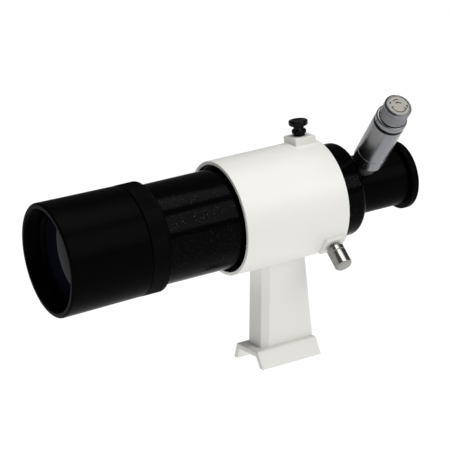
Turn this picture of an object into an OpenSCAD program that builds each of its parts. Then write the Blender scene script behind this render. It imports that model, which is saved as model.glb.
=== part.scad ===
// Straight-through finder scope with a lit reticle, held in a ring bracket with a dovetail foot.
// +X runs from the front lens to the eyepiece, +Z is up, and the origin is below the middle of the foot.

/* [Foot and post] */
// Height of the tube's axis above the underside of the foot
axis_h = 83; // [70:0.5:110]
// Length of the dovetail foot along the tube
foot_len = 36.5; // [28:0.5:50]
// Width of the foot at its underside
foot_base_w = 31; // [26:0.5:40]
// Width of the foot across its top face
foot_top_w = 22; // [20:0.5:26]
// Height of the foot
foot_h = 9; // [7:0.5:12]
// Thickness of the foot's bent plate
foot_t = 3.2; // [2:0.1:4]
// Width of the post across its sides
post_w = 16.6; // [12:0.2:20]
// Width of the post's narrow front face
post_face_w = 12.4; // [8:0.2:12.4]
// Length of the chamfer between the post's front face and its sides
post_chamfer = 4.2; // [2:0.2:8]
// Length of the post along the tube where it meets the ring
post_top_len = 25.6; // [20:0.2:30]
// Length of the post along the tube where it meets the foot
post_base_len = 31.6; // [26:0.2:34]
// Distance from the middle of the foot to the rear face of the post
post_rear = 18; // [15:0.2:18]

/* [Ring bracket] */
// Length of the ring along the tube
ring_len = 62; // [50:0.5:90]
// Distance that the ring's rear face stands behind the middle of the foot
ring_rear = 35; // [30:0.5:50]
// Wall of the ring behind the O-ring land
ring_wall = 2.1; // [1.8:0.1:4]
// Gap between the tube and the ring's bore, which lets the tube tilt
ring_gap = 2.05; // [1.6:0.05:4]
// Gap between the tube and the land that holds the O-ring
land_gap = 1.5; // [1.2:0.05:1.5]
// Length of the land at the front of the ring
land_len = 10; // [8:0.5:16]
// Thickness of the rubber O-ring that the tube swivels in
oring_d = 2.6; // [2:0.1:2.8]
// Side of the square pads under the adjusting screws
pad_w = 12.6; // [10:0.2:18]
// Height of an adjusting screw's pad above the ring
pad_rise = 3.3; // [2:0.1:6]
// Height of the spring plunger's pad above the ring
plunger_pad_rise = 1.4; // [1.2:0.1:4]
// Distance from the ring's rear face to the adjusting screws
screw_from_rear = 8.7; // [8:0.1:20]
// Distance from the ring's rear face to the spring plunger
plunger_from_rear = 7.4; // [7.4:0.1:20]

/* [Tube] */
// Outside diameter of the main tube
tube_d = 53.5; // [48:0.5:66]
// Wall of the main tube
tube_wall = 1.6; // [1.2:0.1:2.4]
// Length of tube seen between the lock ring and the ring bracket
tube_bare_len = 43; // [30:0.5:60]
// Length of the lens shade
shade_len = 45.5; // [40:0.5:60]
// Wall of the lens shade at its front edge
shade_wall = 3.6; // [2.6:0.1:5]
// Amount by which the shade's radius falls from front to rear
shade_taper = 0.7; // [0:0.1:1]
// Pitch of the fine baffle ridges inside the shade's mouth
ridge_pitch = 0.8; // [0.6:0.1:1.2]
// Distance from the shade's front edge to the lens retainer
mouth_depth = 7.3; // [6:0.1:10]
// Length of the knurled lock ring
lock_len = 11.5; // [8:0.5:16]
// Wall of the lock ring
lock_wall = 2.65; // [2:0.05:4]
// Length of rear cell seen behind the ring bracket
rear_cell_len = 15; // [10:0.5:24]
// Radius of the rear cell's rounded rear edge
rear_round = 3.5; // [2:0.1:4]
// Travel of the front lens cell when it is focused
focus_travel = 2; // [1:0.1:3]

/* [Objective] */
// Distance in from the tube's outside to the edge of the front lens
lens_inset = 1.75; // [1.7:0.05:3]
// Edge thickness of the front element
crown_edge = 2.2; // [1.5:0.1:4]
// Edge thickness of the rear element
flint_edge = 5; // [3:0.1:6]
// Height of the front element's outer dome
crown_sag = 2; // [1:0.1:3]
// Height of the curve that the two elements share
inner_sag = 1.6; // [1:0.1:2]
// Thickness of the foil ring between the elements
foil_t = 0.12; // [0.1:0.02:0.3]

/* [Eyepiece] */
// Outside diameter of the eyepiece barrel
barrel_d = 32; // [28:0.5:40]
// Length of the eyepiece barrel
barrel_len = 33.2; // [30:0.2:44]
// Wall of the eyepiece barrel
barrel_wall = 2; // [1.6:0.1:3]
// Amount by which the end ring stands proud of the barrel
eye_ring_lip = 2.7; // [2:0.1:4]
// Length of the end ring
eye_ring_len = 4.5; // [3.5:0.1:8]
// Radius of the eyepiece lenses
eye_lens_r = 9; // [7:0.2:10]

/* [Illuminator] */
// Distance from the rear cell's rear face to the illuminator's axis
lamp_offset = 6.8; // [6.8:0.1:12]
// Angle of the illuminator round the tube, from straight up towards -Y
lamp_angle = 45; // [30:1:60]
// Outside diameter of the battery tube
lamp_d = 17; // [15:0.2:17]
// Wall of the battery tube
lamp_wall = 1.5; // [1:0.1:2]
// Length of the battery tube
lamp_len = 33; // [28:0.5:45]
// Length of the collar under the knob
collar_len = 3.2; // [2:0.1:5]
// Diameter of the brightness knob
knob_d = 14.8; // [12:0.2:16]
// Length of the brightness knob
knob_len = 9.6; // [7:0.1:14]

/* [Screws and plunger] */
// Diameter of the adjusting screws' heads
head_d = 10.4; // [9:0.1:14]
// Length of the adjusting screws' heads
head_len = 3.2; // [2.5:0.1:6]
// Diameter of the adjusting screws' lock nuts
nut_d = 7.9; // [7:0.1:10]
// Diameter of the adjusting screws' threads
thread_d = 5; // [4:0.1:5]
// Diameter of the spring plunger's barrel
plunger_d = 9.6; // [8.6:0.1:11]
// Length of the spring plunger outside its pad
plunger_len = 13.4; // [12:0.1:20]

/* [Hidden] */
$fn = 96;

// Greatest tilt of the tube either way
tilt = 1;
// Clearances
fit = 0.05;        // between pieces that are screwed or pressed together
thread_fit = 0.1;  // between the threads of pieces that turn on each other
run_fit = 0.05;    // between a shaft and its guide
touch_gap = 0.25;  // between the tube and whatever bears on its curved wall
seat_gap = 0.05;   // between flat faces of pieces that turn on each other

// Radii about the tube's axis
tube_r = tube_d / 2;
tube_bore_r = tube_r - tube_wall;
ring_bore_r = tube_r + ring_gap;
ring_r = ring_bore_r + ring_wall;
land_r = tube_r + land_gap;
ring_rough_r = land_r - 1;
groove_r = tube_r + oring_d;
groove_w = oring_d + 2 * groove_r * sin(tilt);
lens_r = tube_r - lens_inset;
cell_bore_r = lens_r + fit;
sleeve_r = tube_r + thread_fit;
cell_r = sleeve_r - 0.5;
shade_bore_r = cell_r + fit;
shade_r = shade_bore_r + shade_wall;
shade_rear_r = shade_r - shade_taper;
lock_r = sleeve_r + lock_wall - 0.1;
rear_cell_r = tube_r - 1.25;
barrel_r = barrel_d / 2;
barrel_bore_r = barrel_r - barrel_wall;
eye_ring_r = barrel_r + eye_ring_lip;
clear_r = lens_r - 1.5;

// Stations along the tube, from the middle of the foot
ring_rear_x = ring_rear;
ring_front_x = ring_rear_x - ring_len;
lock_rear_x = ring_front_x - tube_bare_len;
lock_front_x = lock_rear_x - lock_len;
front_x = lock_front_x - shade_len;
retainer_x = front_x + mouth_depth;
crown_x = retainer_x + 3.2;
foil_x = crown_x + crown_edge;
flint_x = foil_x + foil_t;
cell_rear_x = flint_x + flint_edge + 1.3;
tube_front_x = cell_rear_x + focus_travel + 2.5;
tube_rear_x = ring_rear_x - 2;
rear_cell_x = ring_rear_x + rear_cell_len;
barrel_end_x = rear_cell_x + barrel_len;
eye_end_x = barrel_end_x + eye_ring_len;
land_rear_x = ring_front_x + land_len;
oring_x = ring_front_x + land_len / 2;
screw_x = ring_rear_x - screw_from_rear;
plunger_x = ring_rear_x - plunger_from_rear;
lamp_x = rear_cell_x + lamp_offset;

// Heights out from the tube's axis, for what stands on the tube or the ring
pad_top = ring_r + pad_rise;
plunger_pad_top = ring_r + plunger_pad_rise;
thread_r = thread_d / 2;
nut_len = 3.6;
nut_top = pad_top + seat_gap + nut_len;
knob_base = nut_top + 0.2;
knob_neck = 1.7;
waist_r = nut_d / 2 - 1.1;
head_top = knob_base + knob_neck + head_len;
tip_r = 1.6;
tip_len = 3;
stud_end = tube_r + touch_gap + tip_len;
plunger_r = plunger_d / 2;
plunger_thread_r = plunger_r - 0.9;
plunger_bore_r = plunger_r - 1.6;
plunger_end = plunger_pad_top + plunger_len;
plunger_split = plunger_pad_top + 4.6;
pin_r = 2.4;
pin_head = plunger_split - 1.2;
washer_low = pin_head + 1.8;
spring_low = washer_low + 0.8;
spring_high = plunger_end - 1.6;
lamp_r = lamp_d / 2;
lamp_bore_r = lamp_r - lamp_wall;
lamp_base = rear_cell_r + 0.3;
lamp_top = lamp_base + lamp_len;
head_oring_t = 2;
collar_low = lamp_top + head_oring_t;
collar_top = collar_low + collar_len;
knob_low = collar_top + 0.5;
knob_top = knob_low + knob_len;
knob_r = knob_d / 2;
neck_r = 4.6;
led_low = barrel_r - 4;
board_low = lamp_base + 5;
cell_low = board_low + 5.2;
coin_r = lamp_bore_r - 0.9;
coin_t = 5.4;

// Places its children with their +Z along the tube, starting at a station
module along(x) { translate([x, 0, axis_h]) rotate([0, 90, 0]) children(); }

// Places its children with their +Z pointing out from the tube's axis, turned from straight up towards -Y
module outward(x, angle) { translate([x, 0, axis_h]) rotate([angle, 0, 0]) children(); }

// A ring with square edges, or with its outer edges chamfered
module ring(outer, inner, len, chamfer = 0)
  rotate_extrude()
    polygon([[inner, 0], [outer - chamfer, 0], [outer, chamfer], [outer, len - chamfer],
             [outer - chamfer, len], [inner, len]]);

// A lens with a flat rim: each face is a dome of the given height, or a hollow if the height is negative
module lens(r, dome_r, edge, front_sag, rear_sag) {
  steps = 14;
  front = [for (i = [0:steps]) let (u = i / steps) [dome_r * u, -front_sag * (1 - u * u)]];
  rear = [for (i = [steps:-1:0]) let (u = i / steps) [dome_r * u, edge + rear_sag * (1 - u * u)]];
  rotate_extrude() polygon(concat(front, [[r, 0], [r, edge]], rear));
}

// A coil spring standing on the plane z = 0
module coil(r, wire_r, height, turns)
  linear_extrude(height = height, twist = -360 * turns, slices = 16 * turns, $fn = 8)
    translate([r - wire_r, 0]) circle(r = wire_r);

// ---- Bracket ----

// The foot's end view: a plate bent into a top and two flared legs, with round bends and flat feet
module foot_outline() {
  h = foot_t / 2;
  bend = [foot_top_w / 2 - h * 0.6, foot_h - h];
  end_y = foot_base_w / 2 - h;
  lean = atan2(bend[1], end_y - bend[0]);
  steps = 6;
  outer_bend = [for (i = [0:steps]) let (a = 90 - lean * i / steps) bend + h * [cos(a), sin(a)]];
  round_end = [for (i = [0:steps]) let (a = (90 - lean) * (1 - i / steps))
    [end_y + h * cos(a), h * sin(a)]];
  side = concat(outer_bend, round_end,
                [[end_y - h / sin(lean), 0], [bend[0] - h * tan(lean / 2), bend[1] - h]]);
  polygon(concat(side, [for (i = [len(side) - 1:-1:0]) [-side[i][0], side[i][1]]]));
}

module foot()
  translate([-foot_len / 2, 0, 0]) rotate([90, 0, 90]) linear_extrude(foot_len) foot_outline();

// The post's plan view at a given length: a narrow front face, two chamfers and a square rear
module post_plan(len)
  translate([post_rear - len, 0])
    polygon([[0, -post_face_w / 2], [post_chamfer, -post_w / 2], [len, -post_w / 2],
             [len, post_w / 2], [post_chamfer, post_w / 2], [0, post_face_w / 2]]);

// The post tapers in a straight line from the foot to the ring, and the ring's bore cuts its top
module post() {
  low = foot_h - foot_t / 2;
  high = axis_h - ring_bore_r;
  hull() {
    translate([0, 0, low]) linear_extrude(0.1) post_plan(post_base_len);
    translate([0, 0, high]) linear_extrude(0.1) post_plan(post_top_len);
  }
}

// A square pad that stands on the ring, from inside the ring's bore
module pad(top)
  translate([-pad_w / 2, -pad_w / 2, ring_rough_r]) cube([pad_w, pad_w, top - ring_rough_r]);

module bracket()
  color("whitesmoke") difference() {
    union() {
      along(ring_front_x) ring(ring_r, ring_rough_r, ring_len, 0.6);
      foot();
      post();
      outward(screw_x, 0) pad(pad_top);
      outward(screw_x, -90) pad(pad_top);
      outward(plunger_x, 135) pad(plunger_pad_top);
    }
    along(ring_front_x - 1) cylinder(r = land_r, h = ring_len + 2);
    along(land_rear_x) cylinder(r = ring_bore_r, h = ring_len);
    along(oring_x - groove_w / 2) cylinder(r = groove_r, h = groove_w);
    for (a = [0, -90]) outward(screw_x, a) cylinder(r = thread_r + thread_fit, h = pad_top + 1);
    outward(plunger_x, 135) cylinder(r = plunger_thread_r + fit, h = plunger_pad_top + 1);
  }

// The O-ring tilts a little in its wide groove as the tube swivels in it
module pivot_oring()
  color("black") along(oring_x - oring_d / 2 + 0.1)
    ring(groove_r - 0.1, tube_r + run_fit, oring_d - 0.2, 0.6);

// ---- Tube ----

module main_tube()
  color("black") along(tube_front_x) ring(tube_r, tube_bore_r, tube_rear_x - tube_front_x, 0.3);

// The rear cell screws into the tube and steps down to the eyepiece barrel
module rear_cell() {
  plug = 10;
  len = rear_cell_x - tube_rear_x;
  rounding = [for (i = [0:8]) let (a = i * 90 / 8)
    [rear_cell_r - rear_round + rear_round * cos(a), len - rear_round + rear_round * sin(a)]];
  color("black") along(tube_rear_x) rotate_extrude()
    polygon(concat([[tube_bore_r - 2, -plug], [tube_bore_r - fit, -plug], [tube_bore_r - fit, fit],
                    [rear_cell_r, fit]], rounding,
                   [[barrel_r - 1, len], [barrel_r - 1, len - plug_len],
                    [tube_bore_r - 2, len - 2 * plug_len]]));
}

module baffle(x, hole_r)
  color("black") along(x) union() {
    ring(tube_bore_r - fit, tube_bore_r - 1.2, 5);
    ring(tube_bore_r - 1, hole_r, 0.8);
  }

tube_len = tube_rear_x - tube_front_x;
module baffle_front() baffle(tube_front_x + 0.12 * tube_len, clear_r - 3);
module baffle_middle() baffle(tube_front_x + 0.4 * tube_len, clear_r - 8);
module baffle_rear() baffle(tube_front_x + 0.68 * tube_len, clear_r - 12);

// ---- Eyepiece ----

reticle_x = lamp_x;
reticle_r = 8;
plug_len = 4;
groove_len = 1.2;

// The barrel plugs into the rear cell, and has a hole for the illuminator's neck and a groove at its end
module eyepiece_barrel()
  color("black") difference() {
    along(rear_cell_x) union() {
      translate([0, 0, 0.1 - plug_len]) ring(barrel_r - 1 - fit, barrel_bore_r - 1, plug_len);
      translate([0, 0, fit]) ring(barrel_r, barrel_bore_r, barrel_len - groove_len - fit);
      ring(barrel_r - 1.2, barrel_bore_r, barrel_len);
    }
    outward(lamp_x, lamp_angle) cylinder(r = neck_r + fit, h = barrel_r + 2);
  }

module reticle_holder()
  color("dimgray") difference() {
    along(reticle_x - 2) union() {
      ring(barrel_bore_r - fit, reticle_r + fit, 4);
      ring(barrel_bore_r - fit, reticle_r - 1, 1.2);
    }
    outward(lamp_x, lamp_angle) cylinder(r = 1.6, h = barrel_r);
    outward(lamp_x, lamp_angle) translate([0, 0, led_low - 0.6]) cylinder(r = neck_r + fit, h = barrel_r);
  }

module reticle_glass()
  color("lightblue", 0.5) along(reticle_x - 0.8) cylinder(r = reticle_r, h = 1.5);

module reticle_retainer()
  color("black") along(reticle_x + 0.75) ring(reticle_r, reticle_r - 1, 1.2);

eye_cell_len = 14;
eye_cell_x = barrel_end_x - eye_cell_len;
eye_travel = 0.8;

// The knurled end ring turns on the barrel's rear edge
module eye_ring()
  color("black") along(barrel_end_x + seat_gap) difference() {
    ring(eye_ring_r, eye_lens_r + 1.8, eye_ring_len - seat_gap, 0.5);
    translate([0, 0, eye_ring_len - 1.6]) cylinder(r1 = eye_lens_r + 1.8, r2 = eye_lens_r + 4.6, h = 1.7);
  }

// The lens cell slides in the barrel when the end ring is turned
module eye_cell()
  color("black") along(eye_cell_x) union() {
    ring(barrel_bore_r - run_fit, eye_lens_r + fit, eye_cell_len - eye_travel - 0.3);
    ring(barrel_bore_r - 1, eye_lens_r - 1, 1.2);
  }

module eye_field_lens()
  color("lightcyan", 0.5) along(eye_cell_x + 1.3) lens(eye_lens_r, eye_lens_r - 1.1, 2, 0, 1.2);

module eye_lens_spacer()
  color("black") along(eye_cell_x + 3.35) ring(eye_lens_r, eye_lens_r - 1, 3.2);

module eye_lens()
  color("lightcyan", 0.5) along(eye_cell_x + 6.6) lens(eye_lens_r, eye_lens_r - 1.1, 2.4, 1.6, 1);

module eye_lens_retainer()
  color("black") along(eye_cell_x + 9.05) ring(eye_lens_r, eye_lens_r - 1, 2);

// ---- Objective ----

// The shade: ridged mouth, straight bore for the lens cell, and a wider sleeve that screws onto the tube
module lens_shade() {
  ridge = 0.35;
  first = 1.6;
  count = floor((mouth_depth - first - 0.5) / ridge_pitch);
  ridges = [for (i = [0:count - 1]) let (z = first + i * ridge_pitch)
    each [[shade_bore_r, z], [shade_bore_r + ridge, z + ridge_pitch / 2]]];
  cell_end = cell_rear_x - front_x + fit;
  color("black") along(front_x) rotate_extrude()
    polygon(concat([[shade_bore_r + 0.9, 0]], ridges,
                   [[shade_bore_r, first + count * ridge_pitch], [shade_bore_r, cell_end],
                    [sleeve_r, cell_end + 0.5], [sleeve_r, shade_len], [shade_rear_r, shade_len],
                    [shade_r, 0.8], [shade_r - 0.8, 0]]));
}

module lens_cell()
  color("black") along(crown_x) union() {
    ring(cell_r, cell_bore_r, cell_rear_x - crown_x);
    translate([0, 0, cell_rear_x - crown_x - 1.2]) ring(cell_r, clear_r, 1.2);
  }

module crown_lens()
  color("lightsteelblue", 0.5) along(crown_x) lens(lens_r, clear_r, crown_edge, crown_sag, inner_sag);

module lens_foil()
  color("silver") along(foil_x) ring(lens_r, lens_r - 0.8, foil_t);

module flint_lens()
  color("lightsteelblue", 0.5) along(flint_x) lens(lens_r, clear_r, flint_edge, -inner_sag, -0.3);

// The retainer's bore opens towards the front in a step and a cone
module lens_retainer()
  color("black") along(retainer_x) rotate_extrude()
    polygon([[cell_r - 0.7, 0], [cell_r, 0.2], [cell_r, 3.15], [clear_r, 3.15],
             [clear_r, 2.6], [cell_r - 1.6, 0.9], [cell_r - 0.7, 0.9]]);

module lock_ring()
  color("black") along(lock_front_x + 0.1) ring(lock_r, sleeve_r, lock_len - 0.1, 0.8);

// ---- Adjusting screws ----

// A moulded knob with a dished top, a waist and a blind hole for its stud
module screw_knob() {
  r = head_d / 2;
  color("black") translate([0, 0, knob_base]) rotate_extrude()
    polygon([[thread_r + fit, 0], [waist_r, 0], [waist_r, knob_neck - 0.3], [r - 0.8, knob_neck],
             [r, knob_neck + 0.7], [r, knob_neck + head_len - 0.6], [r - 0.5, knob_neck + head_len - 0.15],
             [r - 1.2, knob_neck + head_len], [r - 2, knob_neck + head_len - 0.1],
             [0, knob_neck + head_len - 0.7], [0, knob_neck + head_len - 1.6],
             [thread_r + fit, knob_neck + head_len - 1.6]]);
}

// The stud ends in a socket for the nylon tip
module screw_stud()
  color("silver") difference() {
    translate([0, 0, stud_end]) cylinder(r = thread_r, h = head_top - 1.6 - stud_end);
    translate([0, 0, stud_end - 1]) cylinder(r = tip_r + run_fit, h = tip_len);
  }

module screw_tip()
  color("ivory") union() {
    translate([0, 0, tube_r + touch_gap]) cylinder(r = thread_r, h = tip_len - seat_gap);
    translate([0, 0, tube_r + touch_gap]) cylinder(r = tip_r, h = tip_len + 1.9);
  }

// A round lock nut: a narrow foot, a neck and a grooved rim, hollow on top for the knob's waist
module lock_nut() {
  r = nut_d / 2;
  sink = 1.1;
  color("black") translate([0, 0, pad_top + seat_gap]) rotate_extrude()
    polygon([[thread_r + thread_fit, 0], [r - 0.8, 0], [r - 0.8, 0.6], [r - 1.05, 1],
             [r - 0.2, 1.5], [r, 1.8], [r, 2.2], [r - 0.25, 2.35], [r, 2.5], [r, 2.9],
             [r - 0.5, nut_len], [waist_r + thread_fit, nut_len], [waist_r + thread_fit, nut_len - sink],
             [thread_r + thread_fit, nut_len - sink]]);
}

module top_knob() outward(screw_x, 0) screw_knob();
module top_stud() outward(screw_x, 0) screw_stud();
module top_tip() outward(screw_x, 0) screw_tip();
module top_lock_nut() outward(screw_x, 0) lock_nut();
module side_knob() outward(screw_x, -90) screw_knob();
module side_stud() outward(screw_x, -90) screw_stud();
module side_tip() outward(screw_x, -90) screw_tip();
module side_lock_nut() outward(screw_x, -90) lock_nut();

// ---- Spring plunger ----

// The barrel screws into the ring and guides the pin
module plunger_barrel() {
  low = ring_bore_r + 0.4;
  color("silver") outward(plunger_x, 135) rotate_extrude()
    polygon([[pin_r + run_fit, low], [plunger_thread_r, low], [plunger_thread_r, plunger_pad_top + 0.6],
             [plunger_thread_r - 0.4, plunger_pad_top + 0.9], [plunger_thread_r, plunger_pad_top + 1.2],
             [plunger_thread_r - 0.4, plunger_pad_top + 1.5], [plunger_thread_r, plunger_pad_top + 1.8],
             [plunger_r, plunger_pad_top + 2], [plunger_r, plunger_split - 0.2],
             [plunger_r - 0.2, plunger_split], [plunger_bore_r, plunger_split],
             [plunger_bore_r, plunger_pad_top + 0.8], [pin_r + run_fit, plunger_pad_top + 0.8]]);
}

module plunger_cap()
  color("silver") outward(plunger_x, 135) rotate_extrude()
    polygon([[plunger_bore_r, plunger_split + fit], [plunger_r - 0.2, plunger_split + fit],
             [plunger_r, plunger_split + 0.25], [plunger_r, plunger_end - 0.9],
             [plunger_r - 0.9, plunger_end], [0, plunger_end], [0, plunger_end - 1.5],
             [plunger_bore_r, plunger_end - 1.5]]);

module plunger_pin()
  color("silver") outward(plunger_x, 135) rotate_extrude()
    polygon([[0, tube_r + touch_gap], [pin_r - 1, tube_r + touch_gap], [pin_r, tube_r + touch_gap + 1],
             [pin_r, pin_head], [plunger_bore_r - run_fit, pin_head],
             [plunger_bore_r - run_fit, pin_head + 0.9], [0, pin_head + 0.9]]);

module plunger_washer()
  color("gold") outward(plunger_x, 135) translate([0, 0, washer_low])
    ring(plunger_bore_r - run_fit, 1, 0.6);

module plunger_spring()
  color("silver") outward(plunger_x, 135) translate([0, 0, spring_low])
    coil(plunger_bore_r - 0.3, 0.35, spring_high - spring_low - 0.1, 4);

// ---- Illuminator ----

// The cup-shaped neck joins the battery tube to the eyepiece barrel
module lamp_neck() {
  drop = lamp_base - barrel_r;
  bowl_r = lamp_r - 1.9;
  color("dimgray") outward(lamp_x, lamp_angle) difference() {
    rotate_extrude()
      polygon([[0, led_low + 1.5], [neck_r, led_low + 1.5], [neck_r, barrel_r + 0.12 * drop],
               [neck_r + 1, barrel_r + 0.17 * drop], [bowl_r - 0.3, barrel_r + 0.32 * drop],
               [bowl_r, barrel_r + 0.52 * drop], [bowl_r, lamp_base - 2.75],
               [lamp_r - 0.9, lamp_base - 1.4], [lamp_r - 0.4, lamp_base - 0.6],
               [lamp_r - 0.5, lamp_base - fit], [neck_r, lamp_base - fit], [neck_r, lamp_base + 3.5],
               [0, lamp_base + 3.5]]);
    translate([0, 0, led_low - 1]) cylinder(r = 1.6, h = lamp_base + 6 - led_low);
  }
}

// The battery tube has a fine groove where its base section ends
module lamp_tube() {
  groove = lamp_base + 7.3;
  mouth = lamp_top - 6;
  color("silver") outward(lamp_x, lamp_angle) rotate_extrude()
    polygon([[neck_r + fit, lamp_base], [lamp_r - 0.4, lamp_base], [lamp_r, lamp_base + 0.4],
             [lamp_r, groove - 0.2], [lamp_r - 0.25, groove], [lamp_r, groove + 0.2],
             [lamp_r, lamp_top - 0.3], [lamp_r - 0.3, lamp_top], [lamp_bore_r, lamp_top],
             [lamp_bore_r, mouth], [lamp_bore_r, lamp_base + 2], [neck_r + fit, lamp_base + 2]]);
}

module lamp_led()
  color("tomato") outward(lamp_x, lamp_angle) union() {
    translate([0, 0, led_low]) cylinder(r = 1.5, h = 3);
    translate([0, 0, led_low + 3]) cylinder(r = 0.9, h = board_low - led_low - 3);
  }

module lamp_board()
  color("darkgreen") outward(lamp_x, lamp_angle) translate([0, 0, board_low])
    cylinder(r = lamp_bore_r - 0.2, h = 1.2);

module contact_spring()
  color("silver") outward(lamp_x, lamp_angle) translate([0, 0, board_low + 1.25])
    coil(2.6, 0.3, cell_low - board_low - 1.3, 3);

module cell_sleeve()
  color("white") outward(lamp_x, lamp_angle) translate([0, 0, cell_low])
    ring(lamp_bore_r - 0.2, coin_r + 0.1, 2 * coin_t + 0.1);

module lower_cell()
  color("lightgray") outward(lamp_x, lamp_angle) translate([0, 0, cell_low])
    cylinder(r = coin_r, h = coin_t);

module upper_cell()
  color("lightgray") outward(lamp_x, lamp_angle) translate([0, 0, cell_low + coin_t + 0.05])
    cylinder(r = coin_r, h = coin_t);

// The sealing ring sits round the head's spigot, on the mouth of the battery tube
module head_oring()
  color("black") outward(lamp_x, lamp_angle) translate([0, 0, lamp_top + fit])
    ring(lamp_r - 0.1, lamp_bore_r + 0.1, head_oring_t - 2 * fit, 0.5);

// The head's collar screws into the battery tube with a thin spigot
module head_collar()
  color("silver") outward(lamp_x, lamp_angle) rotate_extrude()
    polygon([[lamp_bore_r - 1.2, lamp_top - 4], [lamp_bore_r - thread_fit, lamp_top - 4],
             [lamp_bore_r - thread_fit, collar_low], [lamp_r - 0.3, collar_low], [lamp_r, collar_low + 0.3],
             [lamp_r, collar_top - 0.7], [lamp_r - 0.7, collar_top], [4, collar_top], [4, collar_top - 1.2],
             [lamp_bore_r - 1.2, collar_top - 1.2]]);

module switch_body()
  color("dimgray") outward(lamp_x, lamp_angle) translate([0, 0, lamp_top - 3.6])
    ring(lamp_bore_r - 1.3, 2 + run_fit, collar_top - 1.25 - lamp_top + 3.6);

module knob_shaft()
  color("silver") outward(lamp_x, lamp_angle) translate([0, 0, lamp_top - 3])
    cylinder(r = 2, h = knob_top - 2.6 - lamp_top + 3);

// The knob is hollow underneath and recessed on top for its label
module knob() {
  label_r = knob_r - 1.6;
  color("silver") outward(lamp_x, lamp_angle) rotate_extrude()
    polygon([[knob_r - 1.2, knob_low], [knob_r - 0.3, knob_low], [knob_r, knob_low + 0.3],
             [knob_r, knob_top - 1], [knob_r - 0.9, knob_top], [label_r + fit, knob_top],
             [label_r + fit, knob_top - 0.8], [0, knob_top - 0.8], [0, knob_top - 2.55],
             [2 + fit, knob_top - 2.55], [2 + fit, knob_low + 1], [3.2, knob_low + 1],
             [3.2, knob_top - 2.8], [knob_r - 1.2, knob_top - 2.8]]);
}

module knob_label()
  color("wheat") outward(lamp_x, lamp_angle) translate([0, 0, knob_top - 0.75])
    cylinder(r = knob_r - 1.6, h = 0.45);

bracket();
pivot_oring();
main_tube();
rear_cell();
baffle_front();
baffle_middle();
baffle_rear();
eyepiece_barrel();
reticle_holder();
reticle_glass();
reticle_retainer();
eye_ring();
eye_cell();
eye_field_lens();
eye_lens_spacer();
eye_lens();
eye_lens_retainer();
lens_shade();
lens_cell();
crown_lens();
flint_lens();
lens_foil();
lens_retainer();
lock_ring();
top_knob();
top_stud();
top_tip();
top_lock_nut();
side_knob();
side_stud();
side_tip();
side_lock_nut();
plunger_barrel();
plunger_cap();
plunger_pin();
plunger_washer();
plunger_spring();
lamp_neck();
lamp_tube();
lamp_led();
lamp_board();
cell_sleeve();
lower_cell();
upper_cell();
contact_spring();
head_oring();
head_collar();
switch_body();
knob_shaft();
knob();
knob_label();
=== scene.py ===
"""A finder scope in its ring bracket: turned, knurled, painted and polished pieces over the CAD frame."""

import logging
import math
from collections.abc import Iterable, Sequence
from dataclasses import dataclass, field
from enum import Enum
from typing import Any

import bmesh
import bpy
from mathutils import Matrix, Vector


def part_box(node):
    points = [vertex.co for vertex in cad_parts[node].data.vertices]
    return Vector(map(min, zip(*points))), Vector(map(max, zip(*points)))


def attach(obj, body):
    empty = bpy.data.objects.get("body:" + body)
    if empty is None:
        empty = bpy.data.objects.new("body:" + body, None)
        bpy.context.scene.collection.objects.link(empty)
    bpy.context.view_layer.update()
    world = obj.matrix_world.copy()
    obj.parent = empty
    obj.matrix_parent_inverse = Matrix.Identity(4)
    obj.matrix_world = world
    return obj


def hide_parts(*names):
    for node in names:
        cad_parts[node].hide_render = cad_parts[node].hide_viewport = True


log = logging.getLogger("finder_scope")
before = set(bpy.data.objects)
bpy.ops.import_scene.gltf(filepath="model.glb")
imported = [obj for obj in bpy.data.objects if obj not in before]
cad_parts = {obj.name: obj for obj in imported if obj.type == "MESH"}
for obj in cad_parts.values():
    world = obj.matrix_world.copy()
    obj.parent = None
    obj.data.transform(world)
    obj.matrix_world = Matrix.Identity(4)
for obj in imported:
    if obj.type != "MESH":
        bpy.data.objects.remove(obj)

MM = 0.001
TURN = 2 * math.pi
# The shortest edge that a boolean may leave, in metres.
SLIVER = 2e-6
# How many steps go round a large, a middling and a small turned piece.
LARGE, MIDDLING, SMALL = 192, 128, 96
# How far the plunger's top stands above the face of its pad, in millimetres.
PLUNGER_REACH = 13.4
Points = list[tuple[float, float]]
Outline = Sequence[tuple[float, float]]
Colour = tuple[float, float, float]


# ---- Node graphs ----


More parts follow.
